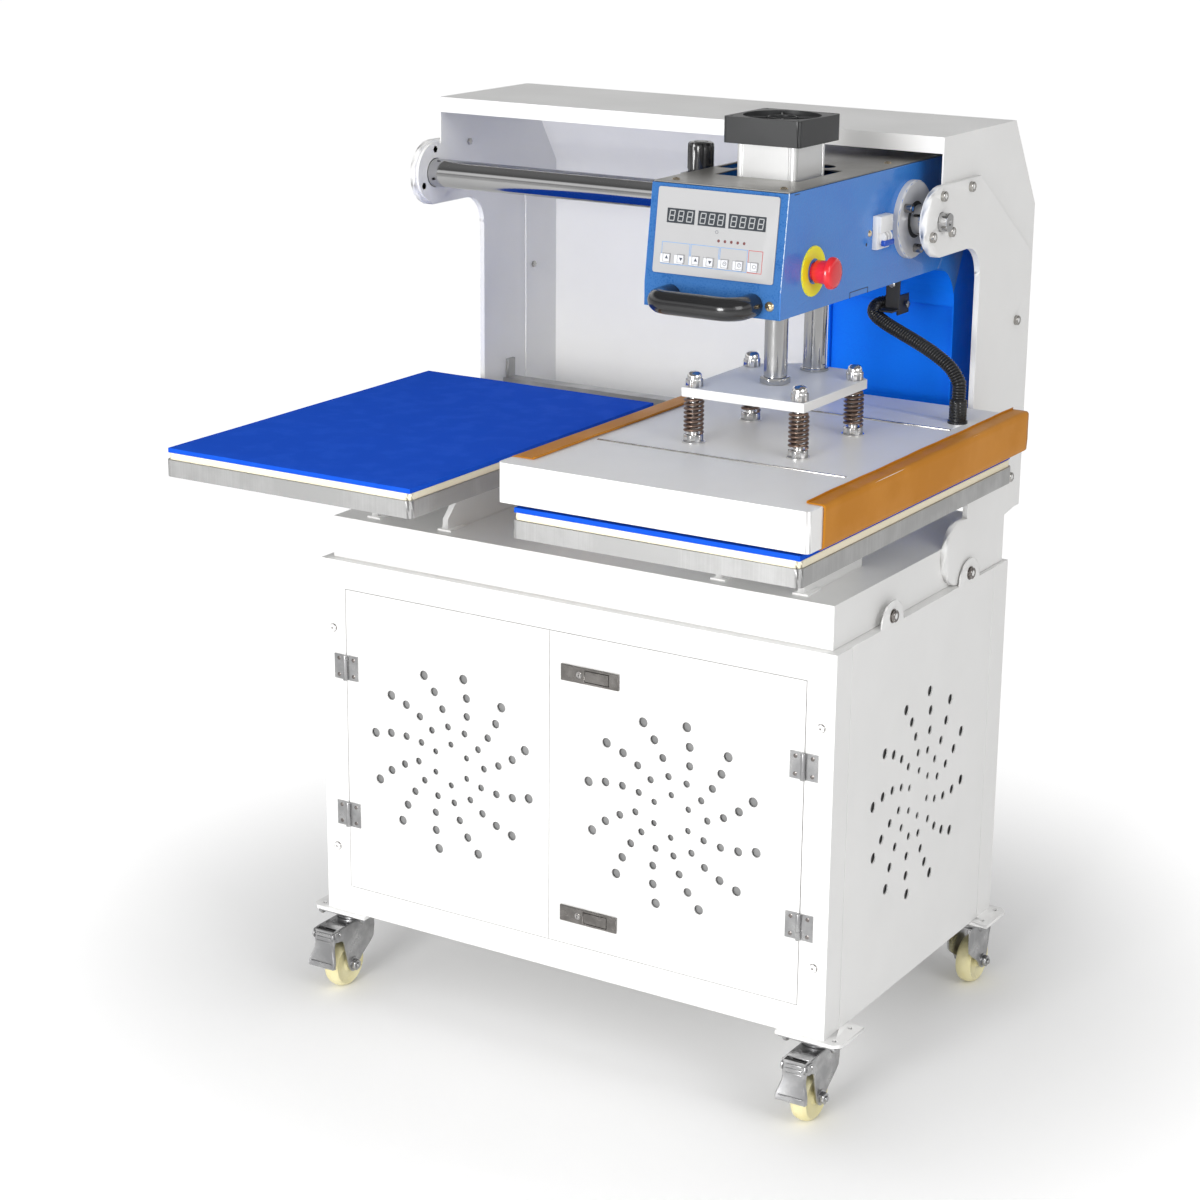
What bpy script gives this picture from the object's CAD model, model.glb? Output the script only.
"""Dual station heat press on a cabinet with casters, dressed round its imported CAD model.
Sizes are in millimetres from the middle of the cabinet's footprint, on the floor."""
import bpy
import bmesh
from math import atan2, cos, pi, radians, sin
from mathutils import Matrix, Vector


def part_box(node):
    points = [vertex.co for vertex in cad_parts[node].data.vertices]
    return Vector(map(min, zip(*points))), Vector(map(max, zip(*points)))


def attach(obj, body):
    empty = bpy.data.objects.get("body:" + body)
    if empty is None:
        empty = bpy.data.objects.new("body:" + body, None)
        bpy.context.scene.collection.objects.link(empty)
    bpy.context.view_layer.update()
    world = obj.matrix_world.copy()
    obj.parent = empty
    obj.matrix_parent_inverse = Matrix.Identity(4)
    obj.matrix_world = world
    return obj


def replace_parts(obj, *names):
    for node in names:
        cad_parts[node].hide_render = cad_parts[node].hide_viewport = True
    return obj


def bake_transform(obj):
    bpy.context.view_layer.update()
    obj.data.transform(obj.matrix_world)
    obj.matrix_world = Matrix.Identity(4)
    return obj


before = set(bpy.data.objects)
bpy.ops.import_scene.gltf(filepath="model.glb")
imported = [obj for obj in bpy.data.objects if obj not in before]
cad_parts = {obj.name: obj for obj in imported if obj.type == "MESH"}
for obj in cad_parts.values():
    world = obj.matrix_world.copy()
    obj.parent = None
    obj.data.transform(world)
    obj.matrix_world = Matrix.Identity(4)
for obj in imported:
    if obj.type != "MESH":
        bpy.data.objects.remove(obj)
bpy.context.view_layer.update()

# ---------------------------------------------------------------- camera
# The photograph is taken from the front right, a little above the head of the press.
# Places are given from the cabinet's middle, which lies halfway between the two stations.
left_low, left_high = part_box("silicone_pad_left")
right_low, right_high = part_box("silicone_pad_right")
station_x, station_y = 278, -205
cabinet_middle = (left_low + left_high + right_low + right_high) / 4
cabinet_middle.y -= station_y / 1000
cabinet_middle.z = 0


def at(x, y, z):
    """A place in millimetres from the cabinet's middle, as a point of the frame in metres."""
    return cabinet_middle + Vector((x, y, z)) / 1000


yaw, pitch, roll = radians(-31.83), radians(-16.72), radians(0.50)
camera_place, photo_width, focal_pixels = (1856.8, -3159.7, 1704.9), 1200, 2683.2
forward = Vector((sin(yaw) * cos(pitch), cos(yaw) * cos(pitch), sin(pitch)))
level = forward.cross(Vector((0, 0, 1))).normalized()
upward = level.cross(forward)
across = level * cos(roll) + upward * sin(roll)
upright = upward * cos(roll) - level * sin(roll)
lens = bpy.data.cameras.new("studio_camera")
lens.sensor_fit = "HORIZONTAL"
lens.sensor_width = 36
lens.lens = focal_pixels / photo_width * lens.sensor_width
lens.shift_x = -2.5 / photo_width
lens.shift_y = -7.6 / photo_width
lens.clip_end = 200
camera = bpy.data.objects.new("studio_camera", lens)
camera.matrix_world = Matrix((across, upright, -forward)).transposed().to_4x4()
camera.matrix_world.translation = at(*camera_place)
bpy.context.scene.collection.objects.link(camera)
bpy.context.scene.camera = camera
bpy.context.scene.view_settings.view_transform = "Standard"

# ---------------------------------------------------------------- studio
# A pale floor, a sky that is brightest in front, one large lamp and a weak one. Floor and
# sky are lifted to white for the camera, the more so away from the cabinet, and the floor
# still takes the shadow. Metal mirrors a room with one bright band.
sky_brightest, sky_range, sky_level = (0.05, -0.90, 0.06), 0.42, 0.53
room_bands = ((0.0, 0.42), (0.10, 0.36), (0.18, 0.92), (0.37, 0.86), (0.47, 0.11), (0.80, 0.20))
floor_white, fade_near, fade_far, fade_lift = 0.95, 0.42, 1.3, 0.50


def add_node(tree, kind, feeds=(), **settings):
    """A shader node; feeds gives its inputs a value or the output of another node."""
    made = tree.nodes.new("ShaderNode" + kind)
    for key, value in settings.items():
        setattr(made, key, value)
    for key, value in dict(feeds).items():
        if isinstance(value, bpy.types.NodeSocket):
            tree.links.new(value, made.inputs[key])
        else:
            made.inputs[key].default_value = value
    return made


def seen_directly(tree):
    """An output that is 1 for what the camera sees, also through glass, and 0 otherwise."""
    ray = add_node(tree, "LightPath").outputs
    return add_node(tree, "Math", {0: ray["Is Camera Ray"], 1: ray["Is Transmission Ray"]},
                    operation="MAXIMUM").outputs[0]


sky = bpy.data.worlds.new("studio_sky")
bpy.context.scene.world = sky
sky.use_nodes = True
tree = sky.node_tree
direction = add_node(tree, "TexCoord").outputs["Generated"]
facing = add_node(tree, "VectorMath", {0: direction, 1: sky_brightest}, operation="DOT_PRODUCT")
soft_sky = add_node(tree, "Math", {0: facing.outputs["Value"], 1: sky_range, 2: sky_level},
                    operation="MULTIPLY_ADD")
height = add_node(tree, "SeparateXYZ", {0: direction})
mirrored_sky = add_node(tree, "ValToRGB", {"Fac": height.outputs["Z"]})
band_stops = mirrored_sky.color_ramp.elements
while len(band_stops) < len(room_bands):
    band_stops.new(0.5)
for stop, (up, shine) in zip(band_stops, room_bands):
    stop.position = up
    stop.color = (shine, shine, shine, 1)
glossy = add_node(tree, "LightPath").outputs["Is Glossy Ray"]
mirrored = add_node(tree, "Mix", {"Factor": glossy, "A": soft_sky.outputs[0],
                                  "B": mirrored_sky.outputs[0]})
strength = add_node(tree, "Mix", {"Factor": seen_directly(tree), "A": mirrored.outputs["Result"],
                                  "B": 1.0})
background = tree.nodes["Background"]
background.inputs["Color"].default_value = (1, 1, 1, 1)
tree.links.new(strength.outputs["Result"], background.inputs["Strength"])

floor_mesh = bpy.data.meshes.new("studio_floor")
floor_bm = bmesh.new()
bmesh.ops.create_grid(floor_bm, x_segments=4, y_segments=4, size=30)
bmesh.ops.translate(floor_bm, vec=(0, 0, -0.0004), verts=floor_bm.verts)
floor_bm.to_mesh(floor_mesh)
floor_bm.free()
floor = bpy.data.objects.new("studio_floor", floor_mesh)
bpy.context.scene.collection.objects.link(floor)
floor_paint = bpy.data.materials.new("studio_floor")
floor_paint.use_nodes = True
tree = floor_paint.node_tree
tree.nodes.remove(tree.nodes["Principled BSDF"])
matt = add_node(tree, "BsdfDiffuse", {"Color": (floor_white, floor_white, floor_white, 1)})
spot_on_floor = add_node(tree, "TexCoord").outputs["Object"]
away = add_node(tree, "VectorMath", {0: spot_on_floor, 1: at(0, -40, 0)}, operation="DISTANCE")
fading = add_node(tree, "MapRange", {
    "Value": away.outputs["Value"], "From Min": fade_near, "From Max": fade_far,
    "To Min": 0.0, "To Max": fade_lift}, interpolation_type="SMOOTHSTEP")
lifted = add_node(tree, "Math", {0: seen_directly(tree), 1: fading.outputs[0]},
                  operation="MULTIPLY")
lift = add_node(tree, "Emission", {"Strength": lifted.outputs[0]})
both = add_node(tree, "AddShader", {0: matt.outputs[0], 1: lift.outputs[0]})
tree.links.new(both.outputs[0], tree.nodes["Material Output"].inputs["Surface"])
floor_mesh.materials.append(floor_paint)


def lamp(name, place, target, size, watts):
    """A square lamp of that width that points from one place to another."""
    light = bpy.data.lights.new(name, "AREA")
    light.size = size
    light.energy = watts
    obj = bpy.data.objects.new(name, light)
    obj.matrix_world = (at(*target) - at(*place)).to_track_quat("-Z", "Y").to_matrix().to_4x4()
    obj.matrix_world.translation = at(*place)
    bpy.context.scene.collection.objects.link(obj)


lamp("front_lamp", (200, -4600, 1500), (0, 0, 800), 1.6, 124)
lamp("right_lamp", (4200, -1500, 2600), (0, 0, 700), 2.0, 42)

# ---------------------------------------------------------------- conduit
# A corrugated black conduit that carries the heater's leads from the bracket on the head
# down to the gland on the platen. It bends as the ram goes down.
conduit_colour = (0.008, 0.008, 0.009)
conduit_crest, conduit_valley, conduit_pitch = 9.6, 8.0, 3.7
arm_x, gland_y, gland_top = 264.5, 7.4, 939.3
gland_x = arm_x + 172.5
conduit_route = [
    (66, 51, 1049), (47, 51, 1049), (42, 49.5, 1048.6), (35, 43, 1046.5), (33.5, 33, 1042),
    (40, 22.5, 1036), (57, 16, 1028), (82, 12, 1018.5), (109, 9.5, 1008), (135, 8, 996),
    (158, 7.5, 981), (170.3, gland_y, 965), (172.5, gland_y, 957.5), (172.5, gland_y, gland_top)]


def finish_group(name, grain_size):
    """An empty group with the sockets that every finish has, with its inputs and outputs."""
    tree = bpy.data.node_groups.new(name, "ShaderNodeTree")
    for label, kind, value in (
            ("Colour", "Color", (0.8, 0.8, 0.8, 1)), ("Patch Colour", "Color", (0.7, 0.7, 0.7, 1)),
            ("Grain", "Vector", (grain_size, grain_size, grain_size)), ("Patch", "Float", 7.0),
            ("Contrast", "Float", 0.3), ("Gloss Low", "Float", 0.35),
            ("Gloss High", "Float", 0.45)):
        socket = tree.interface.new_socket(label, in_out="INPUT", socket_type="NodeSocket" + kind)
        socket.default_value = value
    for label, kind in (("Colour", "Color"), ("Roughness", "Float"), ("Height", "Float")):
        tree.interface.new_socket(label, in_out="OUTPUT", socket_type="NodeSocket" + kind)
    given, result = tree.nodes.new("NodeGroupInput"), tree.nodes.new("NodeGroupOutput")
    return tree, given.outputs, result.inputs


def finish_from(tree, given, result, mask, height):
    """Mixes a group's two colours and its gloss by a mask, and passes its relief on."""
    shade = add_node(tree, "Mix", {0: mask, 6: given["Colour"], 7: given["Patch Colour"]},
                     data_type="RGBA")
    gloss = add_node(tree, "MapRange", {"Value": mask, "To Min": given["Gloss Low"],
                                        "To Max": given["Gloss High"]})
    tree.links.new(shade.outputs[2], result["Colour"])
    tree.links.new(gloss.outputs[0], result["Roughness"])
    tree.links.new(height, result["Height"])


# Grain: fine relief of a paint or metal, stretched along the way it was brushed or drawn,
# and slow patches that shift its colour and its gloss a little.
grain, given, result = finish_group("grain", 900)
on_piece = add_node(grain, "TexCoord").outputs["Object"]
stretched = add_node(grain, "VectorMath", {0: on_piece, 1: given["Grain"]}, operation="MULTIPLY")
fine = add_node(grain, "TexNoise", {"Vector": stretched.outputs[0], "Scale": 1.0, "Detail": 2.0})
patches = add_node(grain, "TexNoise", {"Vector": on_piece, "Scale": given["Patch"],
                                       "Detail": 4.0})
spread = add_node(grain, "MapRange", {"Value": patches.outputs["Fac"], "From Min": 0.35,
                                      "From Max": 0.65})
speck = add_node(grain, "Math", {0: fine.outputs["Fac"], 1: given["Contrast"],
                                 2: spread.outputs[0]}, operation="MULTIPLY_ADD")
finish_from(grain, given, result, speck.outputs[0], fine.outputs["Fac"])


def surface(name, colour, patch_colour, gloss, scale=(900, 900, 900), patch=7.0, contrast=0.3,
            relief=0.1, depth=0.0002, metal=0.0, coat=0.0, group=None, specular=0.5):
    """A material whose colour, gloss and relief come from the grain group, or from a
    richer group with the same sockets; gloss is its lowest and highest roughness."""
    made = bpy.data.materials.new(name)
    made.use_nodes = True
    tree = made.node_tree
    effect = add_node(tree, "Group", {
        "Colour": (*colour, 1), "Patch Colour": (*patch_colour, 1), "Grain": scale,
        "Patch": patch, "Contrast": contrast, "Gloss Low": gloss[0], "Gloss High": gloss[1]},
        node_tree=group or grain)
    bump = add_node(tree, "Bump", {"Strength": relief, "Distance": depth,
                                   "Height": effect.outputs["Height"]})
    shader = tree.nodes["Principled BSDF"]
    tree.links.new(effect.outputs["Colour"], shader.inputs["Base Color"])
    tree.links.new(effect.outputs["Roughness"], shader.inputs["Roughness"])
    tree.links.new(bump.outputs["Normal"], shader.inputs["Normal"])
    shader.inputs["Metallic"].default_value = metal
    shader.inputs["Coat Weight"].default_value = coat
    shader.inputs["Coat Roughness"].default_value = 0.12
    shader.inputs["Specular IOR Level"].default_value = specular
    return made


def link_in(mesh, name, body=None, sharp=38):
    """Puts a finished mesh into the scene as a piece, smooth but for its sharp edges."""
    mesh.name = name
    mesh.shade_smooth()
    mesh.set_sharp_from_angle(angle=radians(sharp))
    obj = bpy.data.objects.new(name, mesh)
    bpy.context.scene.collection.objects.link(obj)
    if body:
        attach(obj, body)
    return obj


def smooth_line(points, steps=10):
    """Points along a smooth line through the given ones."""
    ends = [2 * points[0] - points[1], *points, 2 * points[-1] - points[-2]]
    line = []
    for a, b, c, d in zip(ends, ends[1:], ends[2:], ends[3:]):
        for step in range(steps):
            t = step / steps
            line.append((2 * b + (c - a) * t + (2 * a - 5 * b + 4 * c - d) * t * t
                         + (3 * b - a - 3 * c + d) * t ** 3) / 2)
    return line + [points[-1]]


def evenly(line, spacing):
    """The same line with its points a whole number of even steps apart."""
    lengths = [(b - a).length for a, b in zip(line, line[1:])]
    total = sum(lengths)
    count = round(total / spacing)
    made, travelled, index = [], 0.0, 0
    for step in range(count + 1):
        target = min(total * step / count, total - 1e-9)
        while travelled + lengths[index] < target:
            travelled += lengths[index]
            index += 1
        made.append(line[index].lerp(line[index + 1], (target - travelled) / lengths[index]))
    return made, total


def tube(points, radii, sides=24):
    """A tube along points in metres, with its own radius at each of them, as a mesh."""
    curve = bpy.data.curves.new("tube", "CURVE")
    curve.dimensions = "3D"
    curve.bevel_depth = 1.0
    curve.bevel_resolution = sides // 4 - 2
    curve.use_fill_caps = True
    spline = curve.splines.new("POLY")
    spline.points.add(len(points) - 1)
    for spot, point, radius in zip(spline.points, points, radii):
        spot.co = (*point, 1)
        spot.radius = radius
    carrier = bpy.data.objects.new("tube", curve)
    bpy.context.scene.collection.objects.link(carrier)
    mesh = bpy.data.meshes.new_from_object(carrier)
    bpy.data.objects.remove(carrier)
    bpy.data.curves.remove(curve)
    return mesh


black_conduit = surface("black_conduit", conduit_colour, (0.018, 0.018, 0.018), (0.2, 0.3),
                        scale=(500, 500, 500), relief=0.05)
conduit_line = smooth_line([at(arm_x + x, y, z) for x, y, z in conduit_route])
conduit_points, conduit_length = evenly(conduit_line, conduit_pitch / 4000)
conduit_mesh = tube(conduit_points, [
    (conduit_valley + (conduit_crest - conduit_valley) * (0, 0.75, 1, 0.75)[i % 4]) / 1000
    for i in range(len(conduit_points))])
conduit_mesh.materials.append(black_conduit)
conduit = link_in(conduit_mesh, "conduit_hose", sharp=80)
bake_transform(conduit)
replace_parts(conduit, "conduit")

# ---------------------------------------------------------------- cabinet
# A folded and welded steel cabinet in white powder coat. Round vents are punched in each
# side, and dome screws, tabs with cap screws and corner plates hold what it carries.
white_colour, white_patch = (0.875, 0.872, 0.862), (0.845, 0.842, 0.832)
nickel_colour, nickel_patch = (0.31, 0.285, 0.27), (0.22, 0.20, 0.19)
zinc_colour, zinc_patch = (0.56, 0.56, 0.56), (0.38, 0.38, 0.385)
both_sides = (("left", -1), ("right", 1))
cabinet_half, cabinet_front = 410, -265
caster_x, caster_y = 388, 235
hinge_x, hinge_levels = 368, (275.5, 499)
vent_side, vent_y, vent_z = 1.08, -3.5, 387
dome_radius, dome_rise = 6.2, 3.1
white_paint = surface("white_powder_coat", white_colour, white_patch, (0.34, 0.44),
                      relief=0.06, contrast=0.2)
zinc_plate = surface("zinc_plate", zinc_colour, zinc_patch, (0.22, 0.38), patch=40,
                     scale=(400, 400, 400), relief=0.08, metal=1.0)
nickel = surface("nickel_plate", nickel_colour, nickel_patch, (0.18, 0.3), patch=60,
                 relief=0.05, metal=1.0)


class Shape:
    """A mesh in the making: each form is drawn round the origin in millimetres and then
    put in its place."""

    def __init__(self):
        self.bm = bmesh.new()
        self.placed = self.bm.verts.layers.int.new("placed")

    def loose(self):
        """The corners of the form that is being drawn."""
        return [v for v in self.bm.verts if not v[self.placed]]

    def spin(self, profile, steps=40):
        """A closed or open profile of (radius, height) turned round the Z axis."""
        line = [self.bm.verts.new((radius, 0, level)) for radius, level in profile]
        edges = [self.bm.edges.new(pair) for pair in zip(line, line[1:])]
        bmesh.ops.spin(self.bm, geom=line + edges, cent=(0, 0, 0), axis=(0, 0, 1),
                       angle=2 * pi, steps=steps, use_merge=True)
        bmesh.ops.remove_doubles(self.bm, verts=self.loose(), dist=0.002)
        return self

    def soften(self, edge, segments=2):
        """Rounds every edge of the form that is being drawn."""
        edges = list({e for v in self.loose() for e in v.link_edges if e.calc_face_angle(0) > 0.6})
        bmesh.ops.bevel(self.bm, geom=edges, offset=edge, segments=segments, profile=0.5,
                        affect="EDGES", material=-1)
        return self

    def bar(self, size, edge=0.5):
        """A block round the origin."""
        made = bmesh.ops.create_cube(self.bm, size=1)["verts"]
        bmesh.ops.scale(self.bm, vec=size, verts=made)
        return self.soften(edge) if edge else self

    def prism(self, sides, radius, tall, edge=0.7, top=None):
        """A nut, bolt head or pin that stands on the origin; top is its upper radius."""
        made = bmesh.ops.create_cone(self.bm, cap_ends=True, segments=sides, radius1=radius,
                                     radius2=radius if top is None else top, depth=tall)["verts"]
        bmesh.ops.translate(self.bm, vec=(0, 0, tall / 2), verts=made)
        return self.soften(edge) if edge else self

    def slab(self, corners, out):
        """A flat face with those corners, drawn out along a vector."""
        face = self.bm.faces.new([self.bm.verts.new(corner) for corner in corners])
        raised = bmesh.ops.extrude_face_region(self.bm, geom=[face])["geom"]
        bmesh.ops.translate(self.bm, vec=out,
                            verts=[v for v in raised if isinstance(v, bmesh.types.BMVert)])
        return self

    def put(self, x, y, z, along=(0, 0, 1), turn=0.0):
        """Turns the form so that its Z axis points along, and puts it at a place."""
        tilt = Vector((0, 0, 1)).rotation_difference(Vector(along)).to_matrix().to_4x4()
        return self.lay(Matrix.Translation(at(x, y, z)) @ tilt @ Matrix.Rotation(turn, 4, "Z"))

    def lay(self, matrix):
        """Puts the form where a matrix says, given in metres."""
        new = self.loose()
        bmesh.ops.transform(self.bm, matrix=matrix @ Matrix.Scale(0.001, 4), verts=new)
        for vert in new:
            vert[self.placed] = 1
        return self

    def mesh(self, name="shape"):
        """Every form put so far, as one mesh that faces outwards."""
        self.bm.verts.layers.int.remove(self.placed)
        bmesh.ops.recalc_face_normals(self.bm, faces=self.bm.faces)
        made = bpy.data.meshes.new(name)
        self.bm.to_mesh(made)
        self.bm.free()
        return made

    def finish(self, name, body, slot, material, sharp=38):
        """Makes the forms one piece of the scene that rides on a body."""
        mesh = self.mesh(name)
        mesh.materials.append(material)
        return link_in(mesh, name, body, sharp)


sharp_corner, least_length = radians(42), 17


def dressed(node, body, material, edge=0.7, zones=(), cutters=None):
    """A copy of a CAD piece: its edges rounded where they are sharp and longer than some
    widths of the rounding, its round holes punched, and its faces inside each zone's box
    in another material."""
    bm = bmesh.new()
    bm.from_mesh(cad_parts[node].data)
    bmesh.ops.remove_doubles(bm, verts=bm.verts, dist=2e-5)
    width = edge / 1000
    if edge:
        long = [e for e in bm.edges if len(e.link_faces) == 2
                and e.calc_face_angle(0) > sharp_corner
                and e.calc_length() > least_length * width]
        bmesh.ops.bevel(bm, geom=long, offset=width, segments=2, profile=0.5,
                        affect="EDGES", material=-1, clamp_overlap=True)
    mesh = bpy.data.meshes.new(node)
    bm.to_mesh(mesh)
    obj = bpy.data.objects.new(node + "_finished", mesh)
    bpy.context.scene.collection.objects.link(obj)
    if cutters:
        tool = bpy.data.objects.new("cutters", cutters.mesh())
        bpy.context.scene.collection.objects.link(tool)
        punch = obj.modifiers.new("punch", "BOOLEAN")
        punch.solver = "MANIFOLD"
        punch.object = tool
        depsgraph = bpy.context.evaluated_depsgraph_get()
        bm.clear()
        bm.from_object(obj, depsgraph)
        bm.to_mesh(mesh)
        obj.modifiers.clear()
        bpy.data.objects.remove(tool)
    bm.free()
    mesh.materials.clear()
    mesh.materials.append(material)
    mesh.shade_smooth()
    mesh.set_sharp_from_angle(angle=radians(38))
    for low, high, other in zones:
        a, b = at(*low), at(*high)
        if mesh.materials.find(other.name) < 0:
            mesh.materials.append(other)
        index = mesh.materials.find(other.name)
        for face in mesh.polygons:
            if all(a[k] <= face.center[k] <= b[k] for k in range(3)):
                face.material_index = index
    even = obj.modifiers.new("even_shading", "WEIGHTED_NORMAL")
    even.keep_sharp = True
    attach(obj, body)
    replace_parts(obj, node)
    return obj


vent_rows, inner_row, row_step, arm_turn = 5, 30.5, 25.5, radians(20)
hole_radius, hole_growth = 4.692, 0.5865


def vent_holes(scale, mirror):
    """The holes of a vent, each as its place across and up and its radius. They lie in rows
    on twelve arms that turn as they go out. Every other arm starts a row further in."""
    for arm in range(12):
        first_row = arm % 2
        start_angle = radians(5.5 if first_row else 30) + arm // 2 * radians(60)
        for row in range(first_row, vent_rows):
            angle = (start_angle + arm_turn * (row - first_row) / 4) * mirror
            radius = (inner_row + row_step * row) * scale
            yield (radius * cos(angle), radius * sin(angle),
                   (hole_radius + hole_growth * row) * scale)


side_vents = Shape()
for side in (-1, 1):
    for reach, rise, hole in vent_holes(vent_side, side):
        side_vents.prism(20, hole, 14, edge=0).put(
            side * (cabinet_half - 7), vent_y + side * reach, vent_z + side * rise, (side, 0, 0))
dust_grey = surface("dust_screen", (0.33, 0.33, 0.33), (0.27, 0.27, 0.27), (0.6, 0.8))
side_screens = Shape()
for side in (-1, 1):
    side_screens.bar((1, 300, 300), edge=0).put(side * (cabinet_half - 6), vent_y, vent_z)
side_screens.finish("side_dust_screens", "stand", "black_plastic", dust_grey)
zinc_zones = [((x - 50, y - 40, 112), (x + 50, y + 40, 116.2), zinc_plate)
              for x in (-caster_x, caster_x) for y in (-caster_y, caster_y)]
hinge_zones = [((x - 22, -275, z - 20), (x + 22, -265.4, z + 20), zinc_plate)
               for x in (-hinge_x, hinge_x) for z in hinge_levels]
dressed("cabinet_frame", "stand", white_paint,
        zones=zinc_zones + hinge_zones, cutters=side_vents)

frame_screws = Shape()
for x in (-390.5, 390.5):
    for z in (221, 554.6):
        frame_screws.spin([(0, dome_rise), (2.6, dome_rise * 0.94), (4.6, dome_rise * 0.7),
                           (5.8, dome_rise * 0.3), (dome_radius, 0), (dome_radius, -0.6),
                           (0, -0.6)]).put(x, cabinet_front, z, (0, -1, 0))
frame_screws.finish("cabinet_dome_screws", "stand", "nickel_dark", nickel)


def cap_screw(shape, radius, tall, x, y, z, along):
    """A cap screw with a hexagon socket in its head."""
    shape.spin([(0, tall - 2.6), (radius * 0.5, tall - 2.6), (radius * 0.5, tall),
                (radius - 0.7, tall), (radius, tall - 0.7), (radius, -0.3), (0, -0.3)],
               steps=24).put(x, y, z, along)


tab_screws = Shape()
for side in (-1, 1):
    for y in (-107, 134):
        along = (side, 0, 0)
        tab_screws.spin([(9.6, 0), (9.6, 0.9), (5, 0.9), (5, 0)])
        tab_screws.put(side * cabinet_half, y, 668, along)
        cap_screw(tab_screws, 8.1, 5.1, side * cabinet_half, y, 668, along)
tab_screws.finish("tab_cap_screws", "stand", "nickel_dark", nickel)

# ---------------------------------------------------------------- doors
# Two pressed steel doors of unequal width on zinc hinges, with the same punched vents.
# Each hinge leaf is held by two countersunk screws.
for side_name, vent_x in (("left", -188), ("right", 170.5)):
    body = side_name + "_door"
    door_vents = Shape()
    for reach, rise, hole in vent_holes(1, 1):
        door_vents.prism(20, hole, 12, edge=0).put(vent_x + reach, cabinet_front + 6,
                                                   vent_z + rise, (0, -1, 0))
    dressed("door_" + side_name, body, white_paint, zones=hinge_zones,
            cutters=door_vents)
    screen = Shape()
    screen.bar((280, 1, 280), edge=0).put(vent_x, cabinet_front + 6, vent_z)
    screen.finish("dust_screen_" + side_name, body, "black_plastic", dust_grey)


def countersunk(shape, radius, x, y, z, along):
    """The head of a countersunk screw, a little raised in the middle."""
    shape.spin([(0, 0.35), (radius * 0.8, 0.35), (radius, 0), (radius, -0.5), (0, -0.5)],
               steps=20).put(x, y, z, along)


for side_name, side in both_sides:
    for reach, body in ((1, "stand"), (-1, side_name + "_door")):
        screws = Shape()
        for z in hinge_levels:
            for drop in (-12.3, 12.3):
                countersunk(screws, 2.9, side * (hinge_x + reach * 12.6), -266.6, z + drop,
                            (0, -1, 0))
        screws.finish(f"hinge_screws_{side_name}_{body}", body, "nickel_dark", nickel)
    barrels = Shape()
    for z in hinge_levels:
        barrels.spin([(0, -18.4), (3.3, -18.4), (3.6, -17.8), (3.6, -6.6), (3.3, -6.3),
                      (3.3, 6.3), (3.6, 6.6), (3.6, 17.8), (3.3, 18.4), (0, 18.4)],
                     steps=24).put(side * hinge_x, -268.5, z)
    barrels.finish("hinge_barrels_" + side_name, "stand", "zinc", zinc_plate)

# ---------------------------------------------------------------- door locks
# Two flush paddle locks in dark nickel on the right door: a plate, a flap that swings out
# at its right end, and a push button that is keyed in the real one.
lock_metal = surface("lock_nickel", (0.30, 0.285, 0.27), (0.19, 0.18, 0.17), (0.2, 0.32),
                     scale=(60, 900, 900), patch=50, relief=0.12, metal=1.0)
button_chrome = surface("button_chrome", (0.62, 0.60, 0.58), (0.5, 0.49, 0.48), (0.1, 0.18),
                        patch=80, relief=0.02, metal=1.0)
button_x = -3 + 91 * 0.32
for name, z in (("lower", 209.3), ("upper", 560.5)):
    dressed("lock_plate_" + name, "right_door", lock_metal, edge=0.8)
    dressed("lock_flap_" + name, name + "_flap", lock_metal, edge=0.5)
    button = Shape()
    button.spin([(0, 0.5), (0.9, 0.5), (1.0, 1.3), (3.2, 1.3), (3.6, 0.9), (3.7, 0),
                 (4.55, -0.05), (4.6, -0.3), (4.6, -0.9), (0, -0.9)], steps=28)
    button.put(button_x, -269.3, z, (0, -1, 0))
    chrome = button.finish("lock_button_" + name + "_finished", name + "_lock_button",
                           "nickel_dark", button_chrome)
    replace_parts(chrome, "lock_button_" + name)
    slots = Shape()
    slots.bar((0.8, 5, 0.3), edge=0).put(button_x, -270.5, z, (0, -1, 0))
    slots.finish("lock_slot_" + name, name + "_lock_button", "nickel_dark", black_conduit)

# ---------------------------------------------------------------- casters
# Swivel casters with zinc forks and pale yellow nylon wheels. The front two have a ribbed
# brake pedal that hangs before the fork. A ball race turns under each top plate.
nylon = surface("cast_nylon", (0.86, 0.80, 0.50), (0.80, 0.72, 0.38), (0.22, 0.36),
                patch=25, relief=0.05)
rubber = surface("brake_rubber", (0.015, 0.015, 0.015), (0.03, 0.03, 0.03), (0.5, 0.7))
tread = [(4.6, 13.2), (9.5, 13.2), (10, 12.6), (13, 9.8), (24, 9.2), (28, 11.4), (31, 12.0),
         (33.4, 10.0), (35.2, 6.4), (35.9, 2.4), (36, 0)]
cheek_line = [(-25, 103.2), (-27, 95), (-27, 80), (-24.5, 64), (-17, 57), (-8, 51), (4, 43),
              (11, 36), (14.5, 30.5), (19, 26.8), (25, 25.2), (30, 26.4), (34, 29.8), (36.4, 35),
              (38, 42), (41, 52), (43.5, 62), (45.5, 73), (48.5, 79.5)]
braked_line = cheek_line + [(54, 82.4), (62, 83), (69, 85.5), (74, 89.5), (75.6, 94), (74, 99),
                            (68, 102.3), (60, 103.2)]
plain_line = cheek_line + [(47, 88), (42, 97), (34, 103.2)]

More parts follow.
